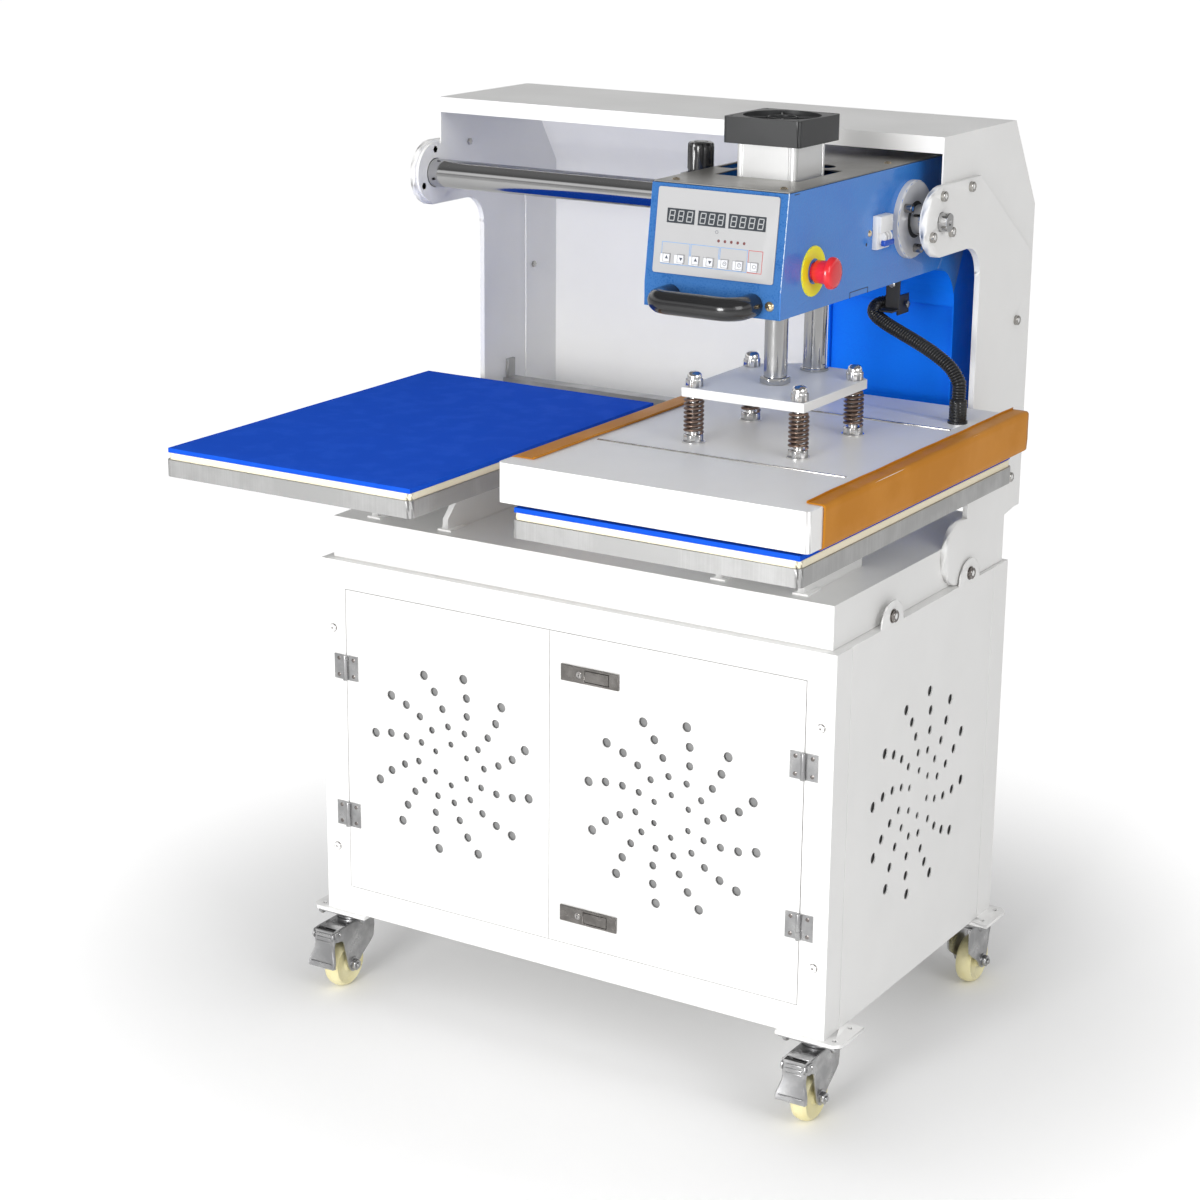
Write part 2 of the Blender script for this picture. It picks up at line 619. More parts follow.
axle_z, wheel_trail, cheek_x, cheek_wall = 36, 25, 16.9, 2.6
race_z, plate_under = 103.7, 113.4
for end_name, end in (("front", -1), ("rear", 1)):
    for side_name, side in both_sides:
        place = f"{end_name}_{side_name}"
        x, y = side * caster_x, end * caster_y
        axle_y = y + end * wheel_trail
        swivel = Matrix.Translation(at(x, y, 0)) @ Matrix.Rotation(0 if end < 0 else pi, 4, "Z")
        outline, reach = (braked_line, 60) if end < 0 else (plain_line, 34)
        fork = Shape()
        for out in (-1, 1):
            cheek = [(cheek_x * out - cheek_wall / 2, -ahead, z) for ahead, z in outline]
            fork.slab(cheek, (cheek_wall, 0, 0)).soften(0.6).lay(swivel)
        fork.bar((36.4, reach + 23, 2.6), edge=0.9).lay(
            swivel @ Matrix.Translation(Vector((0, -(reach - 23) / 2, 102.1)) / 1000))
        fork.spin([(23, 0.1), (25.3, 0.6), (25.6, 3.6), (24.4, 4.2), (24.4, 4.8), (25.6, 5.4),
                   (25.6, 8.4), (25.0, 8.9), (20, 8.9), (20, 0.1), (23, 0.1)],
                  steps=48).put(x, y, race_z)
        for out in (-1, 1):
            along = (out, 0, 0)
            fork.spin([(0, 0), (11, 0), (11, 1.0), (9.6, 1.2), (0, 1.2)],
                      steps=24).put(x + out * 18.1, axle_y, axle_z, along)
            fork.prism(6, 8.7, 6.2, edge=0.9).put(x + out * 19.2, axle_y, axle_z, along, 0.3)
            fork.prism(16, 4.1, 3.4, edge=0.7).put(x + out * 24.9, axle_y, axle_z, along)
        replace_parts(fork.finish("fork_" + place, place + "_caster", "zinc", zinc_plate),
                    "caster_fork_" + place)
        wheel = Shape()
        wheel.spin(tread + [(r, -h) for r, h in reversed(tread[:-1])] + [tread[0]], steps=56)
        wheel.put(x, axle_y, axle_z, (1, 0, 0))
        turning = wheel.finish("wheel_" + place, place + "_wheel", "nylon", nylon)
        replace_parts(turning, "caster_wheel_" + place)
        plate_bolts = Shape()
        for bolt_x in (-36, 36):
            for bolt_y in (-27, 27):
                spot = (x + bolt_x, y + bolt_y, plate_under)
                plate_bolts.prism(6, 6.0, 3.6, edge=0.6).put(*spot, (0, 0, -1))
                plate_bolts.spin([(0, 7.4), (2.4, 7.1), (4.2, 5.8), (4.9, 3.6), (0, 3.6)],
                                 steps=20).put(*spot, (0, 0, -1))
        plate_bolts.finish("caster_bolts_" + place, "stand", "zinc", zinc_plate)

# A pedal is a pressed plate with a waist, side flanges and a rolled lip, on a pin through
# the fork's ears. Each row gives its height, how far ahead it lies and its half width.
pedal_rows = [(101.4, 68.4, 16.6), (101.2, 70.6, 17.6), (98, 71.4, 18.6), (90, 71.6, 18.2),
              (80, 72.2, 16.9), (73, 73.8, 17.4), (65, 76, 19.9), (57, 78.4, 22.6),
              (51, 80.2, 23.4), (47.6, 80.6, 22.8), (46, 79, 22.0), (45.8, 76.4, 21.6)]
for side_name, side in both_sides:
    x, y = side * caster_x, -caster_y
    pedal = Shape()
    rows = []
    for level, ahead, half in pedal_rows:
        steps = [(-half, ahead - 5), (-half, ahead - 1.4), (1.6 - half, ahead + 0.5),
                 (3.4 - half, ahead), (half - 3.4, ahead), (half - 1.6, ahead + 0.5),
                 (half, ahead - 1.4), (half, ahead - 5)]
        rows.append([pedal.bm.verts.new((reach, -forward_by, level))
                     for reach, forward_by in steps])
    for upper, lower in zip(rows, rows[1:]):
        for k in range(len(upper) - 1):
            pedal.bm.faces.new((upper[k], upper[k + 1], lower[k + 1], lower[k]))
    bmesh.ops.recalc_face_normals(pedal.bm, faces=pedal.bm.faces)
    bmesh.ops.solidify(pedal.bm, geom=pedal.bm.faces[:], thickness=1.3)
    pedal.lay(Matrix.Translation(at(x, y, 0)))
    for rib in range(3):
        pedal.bar((25, 2.4, 2.4), edge=1.0).put(x, y - 71.6, 97 - 6.2 * rib)
    pedal.bar((36, 2.0, 1.8), edge=0.8).put(x, y - 79.8, 54.5)
    for out in (-1, 1):
        pedal.bar((1.8, 14, 10.4), edge=0.8).put(x + out * 19.6, y - 63, 95.4)
    pedal.prism(16, 2.4, 46, edge=0.5).put(x - 23, y - 60, 96.3, (1, 0, 0))
    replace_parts(pedal.finish("pedal_" + side_name, side_name + "_brake", "zinc", zinc_plate),
                "brake_pedal_" + side_name)
    pad = Shape()
    pad.bar((30, 8, 5), edge=1.0).put(x, y - 64, 98)
    pad.bar((26, 12, 12), edge=1.5).put(x, y - 55, 90)
    pad.finish("brake_pad_" + side_name, f"front_{side_name}_caster", "black_plastic", rubber)

# ---------------------------------------------------------------- tray
# A folded white tray over the cabinet. Four upright webs are welded to it; they carry the
# lower platens, and each stands on a small foot at its front.
dressed("tray", "stand", white_paint)
welds = Shape()
for x in (-station_x, station_x):
    for web in (-60.5, 60.5):
        for out in (-1, 1):
            welds.bar((1.6, 160, 1.6), edge=0.7).put(x + web + out * 4.6, -150, 716.6)
welds.finish("tray_welds", "stand", "white_paint", white_paint)

# ---------------------------------------------------------------- column
# Two laser cut side plates, 8 mm thick, joined by a folded cover and by the guide shaft.
# Hexagon screws hold the cover and the shaft's flanges.
for side_name in ("left", "right"):
    dressed("column_plate_" + side_name, "stand", white_paint, edge=1.0)
dressed("column_cover", "stand", white_paint, edge=0.9)
bolt_steel = surface("bolt_steel", (0.58, 0.56, 0.53), (0.38, 0.37, 0.35), (0.16, 0.28),
                     patch=70, relief=0.04, metal=1.0)
shaft_z, ear_circle = 1171, 33
ear_spots = [(ear_circle * cos(radians(turn)), shaft_z + ear_circle * sin(radians(turn)))
             for turn in (90, 210, 330)]
cover_spots = [(86, 1206.6), (257, 1002), (263, 777)]
column_bolts = Shape()
for side in (-1, 1):
    for y, z in ear_spots + cover_spots:
        cap_screw(column_bolts, 6.8, 5.2, side * 405.1, y, z, (side, 0, 0))
    for y, z in ear_spots:
        column_bolts.prism(6, 6.0, 3.6, edge=0.6).put(side * 397.0, y, z, (-side, 0, 0))
    for y, z in cover_spots:
        column_bolts.prism(6, 5.2, 3.0, edge=0.6).put(side * 394.4, y, z, (-side, 0, 0))
ear_rings = Shape()
for side in (-1, 1):
    ear_rings.spin([(21, 0), (42.5, 0), (42.5, 4), (21, 4), (21, 0)],
                   steps=56).put(side * 393.4, 0, shaft_z, (side, 0, 0))
ear_rings.finish("ear_rings", "stand", "white_paint", white_paint)
column_bolts.finish("column_bolts", "stand", "nickel_dark", bolt_steel)

# ---------------------------------------------------------------- guide shaft and rail
# The head travels on a ground and chromed shaft. Its turned ends have two flats and show
# in the side plates. A square rail behind keeps the head from turning.
shaft_chrome = surface("ground_shaft", (0.56, 0.56, 0.56), (0.50, 0.50, 0.50), (0.07, 0.12),
                       scale=(900, 60, 60), patch=10, relief=0.02, metal=1.0)
cast_metal = surface("cast_aluminium", (0.50, 0.50, 0.50), (0.42, 0.42, 0.42), (0.38, 0.5),
                     patch=30, relief=0.15, metal=1.0)
shaft = Shape()
shaft.spin([(0, -396.4), (19.4, -396.4), (20, -395.8), (20, 395.8), (19.4, 396.4), (0, 396.4)],
           steps=64).put(0, 0, shaft_z, (1, 0, 0))
for side in (-1, 1):
    shaft.spin([(0, 0), (12.4, 0), (12.4, 20), (11.7, 20.8), (4, 20.8), (2, 18), (0, 18)],
               steps=40)
    for vert in shaft.loose():
        if vert.co.z > 12:
            vert.co.x = max(-9.6, min(9.6, vert.co.x))
    shaft.put(side * 396.3, 0, shaft_z, (side, 0, 0), pi / 2)
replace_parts(shaft.finish("guide_shaft_finished", "stand", "polished_steel", shaft_chrome),
            "guide_shaft")
dressed("guide_rail", "stand", cast_metal, edge=0.8)

# ---------------------------------------------------------------- lower platens and pads
# Each station is a milled aluminium platen under a cream silicone sheet and a blue foam
# sheet. The cutter's marks run upright on the platen's edge.
milled = surface("milled_aluminium", (0.60, 0.60, 0.595), (0.47, 0.47, 0.465), (0.34, 0.46),
                 scale=(520, 520, 8), patch=18, contrast=0.9, relief=0.45, metal=0.7)
silicone = surface("cream_silicone", (0.90, 0.84, 0.66), (0.86, 0.80, 0.61), (0.5, 0.62),
                   patch=9, relief=0.08)
foam = surface("blue_foam", (0.010, 0.105, 0.72), (0.008, 0.09, 0.66), (0.78, 0.95),
               scale=(700, 700, 700), patch=30, contrast=0.8, relief=0.6, depth=0.0004,
               specular=0.1)
for side_name, side in both_sides:
    dressed("lower_plate_" + side_name, "stand", milled, edge=0.8)
    dressed("silicone_pad_" + side_name, "stand", silicone, edge=0.8)
    pad = Shape()
    sheet = bmesh.ops.create_grid(pad.bm, x_segments=40, y_segments=60, size=0.5)["verts"]
    bmesh.ops.scale(pad.bm, vec=(397.8, 597.8, 1), verts=sheet)
    for vert in sheet:
        x, y = vert.co.x / 199, vert.co.y / 299
        worn = 0.16 * sin(9 * x + side) * cos(7 * y) - 0.9 * max(abs(x), abs(y)) ** 30
        vert.co.z = worn - 0.35
    bmesh.ops.solidify(pad.bm, geom=pad.bm.faces[:], thickness=6.3)
    pad.put(side * station_x, station_y, 855)
    soft = pad.finish("foam_sheet_" + side_name, "stand", "foam_blue", foam, sharp=70)
    pad_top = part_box("foam_pad_" + side_name)[1].z
    top = max(v.co.z for v in soft.data.vertices)
    soft.data.transform(Matrix.Translation((0, 0, pad_top - 0.0001 - top)))
    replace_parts(soft, "foam_pad_" + side_name)

# ---------------------------------------------------------------- travelling head
# A welded steel housing in blue hammered enamel that hangs on the shaft and on the rail.
# A flange with three cap screws closes its bearing on the right.
blue_colour, blue_patch = (0.008, 0.15, 0.60), (0.03, 0.21, 0.64)
arm_left, arm_right = arm_x - 95.2, arm_x + 95.2
head_front, head_top, head_foot = -333.5, 1244.4, 1122

# Hammered enamel: flat drops with dark rims, over the same fine grain.
hammered, given, result = finish_group("hammered", 320)
on_piece = add_node(hammered, "TexCoord").outputs["Object"]
stretched = add_node(hammered, "VectorMath", {0: on_piece, 1: given["Grain"]},
                     operation="MULTIPLY")
drops = add_node(hammered, "TexVoronoi", {"Vector": stretched.outputs[0], "Scale": 1.0,
                                          "Smoothness": 0.6}, feature="SMOOTH_F1")
patches = add_node(hammered, "TexNoise", {"Vector": on_piece, "Scale": given["Patch"],
                                          "Detail": 5.0})
speck = add_node(hammered, "Math", {0: drops.outputs["Distance"], 1: given["Contrast"],
                                    2: patches.outputs["Fac"]}, operation="MULTIPLY_ADD")
spread = add_node(hammered, "MapRange", {"Value": speck.outputs[0], "From Min": 0.35,
                                         "From Max": 0.95})
finish_from(hammered, given, result, spread.outputs[0], drops.outputs["Distance"])

blue_enamel = surface("blue_hammered_enamel", blue_colour, blue_patch, (0.3, 0.5),
                      scale=(330, 330, 330), patch=14, contrast=0.6, relief=0.35, depth=0.0008,
                      coat=0.8, group=hammered)
blue_front = surface("blue_hammered_front", (0.012, 0.088, 0.30), (0.045, 0.15, 0.39),
                     (0.22, 0.3), scale=(420, 420, 420), patch=60, contrast=0.9, relief=0.4,
                     depth=0.0005, specular=0.03, group=hammered)
blue_inner = surface("blue_hammered_inner", (0.001, 0.17, 0.96), (0.002, 0.20, 0.98),
                     (0.4, 0.6), scale=(330, 330, 330), patch=14, contrast=0.6, relief=0.2,
                     depth=0.0006, specular=0.12, group=hammered)
flange_paint = surface("flange_steel", (0.66, 0.66, 0.67), (0.60, 0.60, 0.61), (0.3, 0.42),
                       patch=30, relief=0.1)
yellow_plastic = surface("yellow_plastic", (0.97, 0.93, 0.02), (0.92, 0.87, 0.02), (0.3, 0.4),
                         relief=0.05)
black_steel = surface("black_steel", (0.014, 0.014, 0.015), (0.03, 0.03, 0.03), (0.3, 0.45),
                      relief=0.1)
black_plastic = surface("black_plastic", (0.010, 0.010, 0.011), (0.018, 0.018, 0.019),
                        (0.14, 0.22), relief=0.05, coat=0.5)
cap_steel = surface("cap_screw_steel", (0.44, 0.43, 0.41), (0.28, 0.27, 0.26), (0.15, 0.25),
                    patch=60, relief=0.05, metal=1.0)
brass = surface("yellow_zinc_screw", (0.92, 0.80, 0.60), (0.74, 0.56, 0.32), (0.2, 0.32),
                patch=60, relief=0.05, metal=1.0)
arm_zones = [
    ((arm_left + 0.5, -360, 1085), (arm_right - 0.5, -332, 1250), blue_front),
    ((arm_left - 1, -20, 700), (arm_right + 1, 300, 1086), blue_inner),
    ((310, 11.5, 1030), (336, 64, 1090.5), black_steel),
    ((130, -206, 1183), (169, -165, 1237), cast_metal)]
dressed("arm_body", "carriage", blue_enamel, edge=1.1, zones=arm_zones)

flange = Shape()
flange.spin([(20.6, -0.4), (50.8, -0.4), (50.8, 6.6), (49.0, 8.5), (24, 8.5), (22.5, 7.6),
             (20.6, 7.6), (20.6, -0.4)], steps=64).put(arm_right, 0, shaft_z, (1, 0, 0))
flange.finish("bearing_flange", "carriage", "cast_grey", flange_paint)
flange_screws = Shape()
flange_circle = 37
for turn in (150, 270, 30):
    y = flange_circle * cos(radians(turn))
    z = shaft_z + flange_circle * sin(radians(turn))
    cap_screw(flange_screws, 5.8, 10.7, arm_right + 8.4, y, z, (1, 0, 0))
flange_screws.finish("flange_cap_screws", "carriage", "nickel_dark", cap_steel)
seal = Shape()
seal.spin([(20.2, 0), (24.5, 0), (24.5, 2), (20.2, 2.6), (20.2, 0)], steps=48)
seal.put(arm_right + 6.4, 0, shaft_z, (1, 0, 0))
seal.finish("bearing_seal", "carriage", "black_plastic", rubber)
marks = Shape()
marks.bar((1.2, 13, 0.9), edge=0.2).put(arm_right - 0.1, -315, 1240)
marks.bar((1.2, 50, 0.8), edge=0.2).put(arm_right - 0.1, -141, 1099)
for y in (-166, -116):
    marks.bar((1.2, 0.8, 7.4), edge=0.2).put(arm_right - 0.1, y, 1095.4)
marks.finish("tab_slots", "carriage", "black_plastic", black_steel)
# The paint is worn to bright flecks of mixed sizes along the front right corner.
worn, fleck_count, worn_length, front_lean = Shape(), 64, 118, 16.3
for k in range(fleck_count):
    drop = (k * 37 % fleck_count) / fleck_count
    large = (k * 23 % 17) / 17
    z = head_top - 1.4 - worn_length * drop
    y = head_front + 0.3 - front_lean * (head_top - z) / (head_top - head_foot)
    worn.bar((0.7 + 0.5 * large, 0.7 + 0.4 * large, 1.0 + 2.6 * large),
             edge=0.25).put(arm_right - 0.42 - 0.3 * large, y, z)
flecks = surface("worn_flecks", (0.75, 0.80, 0.86), (0.50, 0.62, 0.76), (0.25, 0.4), relief=0.05)
worn.finish("worn_corner", "carriage", "blue_paint", flecks)
bracket_bolt = Shape()
bracket_bolt.prism(6, 5.5, 4, edge=0.6).put(324.5, 31, 1078, (0, -1, 0))
bracket_bolt.prism(6, 5.2, 3, edge=0.6).put(336.2, 51, 1049, (1, 0, 0))
bracket_bolt.finish("conduit_fitting", "carriage", "nickel_dark", bolt_steel)

# ---------------------------------------------------------------- head's top plate
# A brushed stainless plate with openings round the cylinder, the slot and the guide rod.
# Domed cross screws in yellow zinc hold it.
brushed = surface("brushed_stainless", (0.42, 0.41, 0.39), (0.33, 0.32, 0.30), (0.3, 0.42),
                  scale=(900, 40, 900), patch=12, contrast=0.7, relief=0.25, metal=0.75)
dressed("arm_top_plate", "carriage", brushed, edge=0.4)
plate_screws = Shape()
front_screw_x, front_screw_z = 344.9, 1108.2
plate_spots = ((arm_left + 21, -312), (arm_right - 21, -309.5), (arm_right - 21, -29))
for x, y in plate_spots:
    plate_screws.spin([(0, 2.2), (1.5, 2.2), (3.4, 1.7), (4.5, 0.7), (4.8, 0), (0, 0)],
                      steps=24).put(x, y, head_top)
plate_screws.spin([(0, 3.4), (2.4, 3.2), (4.6, 2.3), (5.8, 1.1), (6.3, 0), (0, 0)],
                  steps=32).put(front_screw_x, -350, front_screw_z, (0, -1, 0))
plate_screws.finish("plate_screws", "carriage", "nickel_dark", brass)
crosses = Shape()
for x, y in plate_spots:
    for turn in (0.5, 0.5 + pi / 2):
        crosses.bar((4.6, 0.9, 0.3), edge=0).put(x, y, 1246.6, turn=turn)
for turn in (0.4, 0.4 + pi / 2):
    crosses.bar((6.4, 1.3, 0.5), edge=0).put(front_screw_x, -353.3, front_screw_z, (0, -1, 0),
                                             turn)
crosses.finish("plate_screw_slots", "carriage", "black_plastic", black_steel)

# ---------------------------------------------------------------- display
# A printed panel on the slanting front with three digit windows, a row of lamps and seven
# keys. The digits are unlit, and only numbers and plain signs are drawn.
slant = atan2(16.5, head_top - head_foot)
down = Vector((0, -sin(slant), -cos(slant)))
outward = Vector((0, -cos(slant), sin(slant)))
panel_face = 1.92
panel_origin = at(arm_x - 84, head_front, head_top) + (down * 6.5 + outward * panel_face) / 1000
window_v, key_v = 34, 85.4
arrow_keys, plain_keys = (18.9, 39.2, 59.8, 79.9), (100.4, 120.6, 141.2)
overlay = surface("printed_overlay", (0.455, 0.455, 0.46), (0.43, 0.43, 0.435), (0.34, 0.44),
                  relief=0.04)
window_grey = surface("window_film", (0.030, 0.035, 0.042), (0.036, 0.042, 0.05), (0.18, 0.26),
                      relief=0.02)
digit_pale = surface("unlit_digit", (0.46, 0.47, 0.48), (0.42, 0.43, 0.44), (0.3, 0.4),
                     relief=0.02)
line_blue = surface("line_blue", (0.18, 0.36, 0.68), (0.16, 0.33, 0.62), (0.35, 0.45),
                    relief=0.02)
line_red = surface("line_red", (0.55, 0.05, 0.05), (0.5, 0.04, 0.04), (0.35, 0.45), relief=0.02)
lamp_red = surface("unlit_lamp", (0.22, 0.06, 0.05), (0.16, 0.04, 0.04), (0.2, 0.3), relief=0.02)
sign_dark = surface("sign_dark", (0.05, 0.06, 0.09), (0.07, 0.08, 0.11), (0.35, 0.45),
                    relief=0.02)
key_plastic = surface("key_plastic", (0.72, 0.73, 0.76), (0.68, 0.69, 0.72), (0.36, 0.46),
                      relief=0.04)
dressed("display_panel", "carriage", overlay, edge=0.3)
window_edges = [(14.5, 53.5), (58, 96.6), (100.6, 152.1)]


def on_panel(u, v, rise=0.0, turn=0.0):
    """The matrix of a place on the panel: u from its left edge, v below its upper edge."""
    place = panel_origin + (Vector((u, 0, 0)) + down * v + outward * rise) / 1000
    axes = Matrix((Vector((1, 0, 0)), -down, outward)).transposed().to_4x4()
    return Matrix.Translation(place) @ axes @ Matrix.Rotation(turn, 4, "Z")


films, digits = Shape(), Shape()
for (a, b), count in zip(window_edges, (3, 3, 4)):
    films.bar((b - a - 0.3, 17.7, 0.2), edge=0).lay(on_panel((a + b) / 2, window_v, -0.42))
    pitch_u = (b - a - 2) / count
    for k in range(count):
        u = a + 1 + pitch_u * (k + 0.5)
        for lift_v in (-6.1, 0, 6.1):
            digits.bar((7.2, 1.2, 0.12), edge=0).lay(
                on_panel(u - lift_v * 0.1, window_v + lift_v, -0.27))
        for lift_v in (-3.05, 3.05):
            for out in (-3.4, 3.4):
                digits.bar((1.2, 5.6, 0.12), edge=0).lay(
                    on_panel(u + out - lift_v * 0.1, window_v + lift_v, -0.27, -0.1))
films.finish("digit_windows", "carriage", "overlay", window_grey)
digits.finish("unlit_digits", "carriage", "overlay", digit_pale)


def frame_line(shape, u0, v0, u1, v1, wide=0.7, rise=0.02):
    """A printed rectangle, as four thin strips."""
    for v in (v0, v1):
        shape.bar((u1 - u0 + wide, wide, 0.06), edge=0).lay(on_panel((u0 + u1) / 2, v, rise))
    for u in (u0, u1):
        shape.bar((wide, v1 - v0 - wide, 0.06), edge=0).lay(on_panel(u, (v0 + v1) / 2, rise))


blue_lines, red_lines, lamps, signs = Shape(), Shape(), Shape(), Shape()
frame_top, frame_foot = 66.5, 93
for u0, u1 in ((11.3, 50.3), (52.1, 91.1), (92.9, 130.4)):
    frame_line(blue_lines, u0, frame_top, u1, frame_foot)
frame_line(red_lines, 132.1, frame_top, 151.2, frame_foot)
for k in range(5):
    lamps.spin([(0, 0.25), (1.4, 0.2), (1.9, 0), (0, 0)],
               steps=16).lay(on_panel(89.4 + 8.83 * k, 59))
for k, u in enumerate(arrow_keys):
    signs.prism(3, 2.7, 0.12, edge=0).lay(on_panel(u, key_v, 0.5, pi * (k % 2)))
for u in plain_keys:
    signs.spin([(2.0, 0), (2.0, 0.1), (2.5, 0.1), (2.5, 0), (2.0, 0)],
               steps=24).lay(on_panel(u, key_v, 0.5))
key_edges = Shape()
for u in arrow_keys + plain_keys:
    frame_line(key_edges, u - 5.1, key_v - 5.1, u + 5.1, key_v + 5.1, 0.6, 0.5)
edge_grey = surface("key_outline", (0.30, 0.30, 0.31), (0.26, 0.26, 0.27), (0.35, 0.45),
                    relief=0.02)
key_edges.finish("key_outlines", "carriage", "overlay", edge_grey)
signs.bar((0.5, 3.0, 0.12), edge=0).lay(on_panel(plain_keys[1], key_v - 1, 0.56))
signs.bar((2.6, 0.5, 0.12), edge=0).lay(on_panel(plain_keys[0], key_v, 0.56))
signs.spin([(1.7, 0), (1.7, 0.1), (2.1, 0.1), (2.1, 0), (1.7, 0)],
           steps=24).lay(on_panel(85.8, 48.7, 0.02))
blue_lines.finish("blue_outlines", "carriage", "overlay", line_blue)
red_lines.finish("red_outline", "carriage", "overlay", line_red)
lamps.finish("panel_lamps", "carriage", "overlay", lamp_red)
signs.finish("key_signs", "carriage", "overlay", sign_dark)
for name in ("temperature_up", "temperature_down", "time_up", "time_down", "manual",
             "automatic", "reset"):
    dressed("key_" + name, name, key_plastic, edge=0.25)

# ---------------------------------------------------------------- handle
# A bent black grip of round bar, screwed to the foot of the head's front. It slides the
# head from one station to the other.
handle_half, handle_z, bend, handle_reach = 57, 1107.5, 21, -372
handle_path = [Vector((-handle_half, -350.4, handle_z)),
               Vector((-handle_half, handle_reach + 1, handle_z))]
for k in range(1, 11):
    angle = k / 11 * pi / 2
    handle_path.append(Vector((-handle_half + bend * (1 - cos(angle)),
                               handle_reach - bend * sin(angle), handle_z)))
handle_path.append(Vector((bend - handle_half, handle_reach - bend, handle_z)))
handle_path += [Vector((-p.x, p.y, p.z)) for p in reversed(handle_path)]
handle_points = [at(arm_x + p.x, p.y, p.z) for p in handle_path]
handle_mesh = tube(handle_points, [0.0145] * len(handle_points), sides=48)
handle_mesh.materials.append(black_plastic)
handle = link_in(handle_mesh, "front_handle_finished", "carriage")
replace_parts(handle, "front_handle")

# ---------------------------------------------------------------- regulator
# A pressure regulator of moulded plastic, let into the left of the head. Its black knob
# stands above the top plate and has broad grooves for the fingers.
knob_x, knob_y = 151.8, -185
knob = Shape()
knob.spin([(0, 39), (9, 39), (9.5, 38.4), (13.5, 38.2), (15.6, 37.4), (16.6, 35.5), (16.9, 32),
           (16.9, 5), (16.2, 3.6), (16.2, 0), (0, 0)], steps=72)
for vert in knob.loose():
    turn_step = round(atan2(vert.co.y, vert.co.x) / (2 * pi / 72)) % 9
    if 4 < vert.co.z < 36 and vert.co.xy.length > 15 and turn_step in (0, 1, 8):
        vert.co.x *= 0.95 if turn_step else 0.91
        vert.co.y *= 0.95 if turn_step else 0.91
knob.put(knob_x, knob_y, 1236)
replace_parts(knob.finish("regulator_knob_finished", "knob", "black_plastic", black_plastic),
            "regulator_knob")
regulator = Shape()
regulator.bar((37.6, 37.6, 30), edge=3).put(knob_x, knob_y, 1199)
regulator.spin([(0, 0), (18, 0), (18, 4), (17, 5), (17, 18), (18.2, 19), (18.2, 22), (0, 22)],
               steps=48).put(knob_x, knob_y, 1213.7)
regulator.finish("regulator_body", "carriage", "black_plastic", black_plastic)

# ---------------------------------------------------------------- stop button and breaker
# The red mushroom button stands on a yellow disc on the head's right side. Behind it is a
# white breaker whose three levers are joined by a blue bar.
red_plastic = surface("red_plastic", (0.80, 0.02, 0.03), (0.74, 0.017, 0.025), (0.16, 0.24),
                      relief=0.03, coat=0.5)
stop_place = (arm_right, -268, 1141)
stop = Shape()
stop.spin([(0, 33.1), (11, 32.8), (16, 32.0), (18.8, 30.0), (20, 27.0), (20, 24.6), (18.6, 23.6),
           (14.6, 21.4), (14.4, 6.2), (11, 6.0), (11, -9), (0, -9)], steps=56)
stop.put(*stop_place, (1, 0, 0))
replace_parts(stop.finish("stop_button_finished", "stop", "red_plastic", red_plastic),
            "stop_button")
disc = Shape()
disc.spin([(15.2, 0), (31.2, 0), (31.2, 1.0), (30.6, 1.6), (15.8, 1.6), (15.2, 1.2),
           (15.2, 0)], steps=64).put(*stop_place, (1, 0, 0))
disc.finish("stop_disc", "carriage", "overlay", yellow_plastic)
breaker_white = surface("breaker_plastic", (0.82, 0.82, 0.82), (0.79, 0.79, 0.79),
                        (0.28, 0.36), relief=0.03)
toggle_blue = surface("toggle_blue", (0.015, 0.10, 0.60), (0.012, 0.08, 0.5), (0.24, 0.34),
                      relief=0.03)
breaker_y, lever_gap = -90.7, 8
breaker_body = Shape()
breaker_body.bar((7.4, 35, 43), edge=0.7).put(arm_right + 3.6, breaker_y, 1166.8)
breaker_body.bar((11.8, 34, 21), edge=0.8).put(arm_right + 5.9, breaker_y, 1177.4)
for y in (breaker_y - lever_gap, breaker_y, breaker_y + lever_gap):
    breaker_body.spin([(0, -2), (7.4, -2), (7.8, -1.6), (7.8, 1.6), (7.4, 2), (0, 2)],
                      steps=28).put(arm_right + 7.6, y, 1160.5, (0, 1, 0))
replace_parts(breaker_body.finish("breaker_housing", "carriage", "breaker_white", breaker_white),
            "breaker_body")
toggle = Shape()
toggle_y = breaker_y + 1.7
toggle.bar((7, 27, 7.6), edge=1.6).put(arm_right + 12.6, toggle_y, 1153.4)
for y in (toggle_y - lever_gap, toggle_y, toggle_y + lever_gap):
    toggle.bar((11, 4.2, 5), edge=0.8).put(arm_right + 9, y, 1156)
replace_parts(toggle.finish("breaker_bar", "toggle", "toggle_blue", toggle_blue), "breaker_toggle")
breaker_screws = Shape()
for y, z in ((-115.8, 1167), (-65.6, 1166.7)):
    breaker_screws.spin([(0, 2.2), (1.4, 2.2), (3.4, 1.6), (4.4, 0), (0, 0)],
                        steps=20).put(arm_right, y, z, (1, 0, 0))
breaker_screws.finish("breaker_screws", "carriage", "nickel_dark", brass)
dark_hole = Shape()
dark_hole.spin([(0, 0.12), (2.0, 0.12), (2.2, 0), (0, 0)], steps=16)
dark_hole.put(arm_right, -124, 1153.7, (1, 0, 0))
dark_hole.finish("pilot_hole", "carriage", "black_plastic", black_steel)

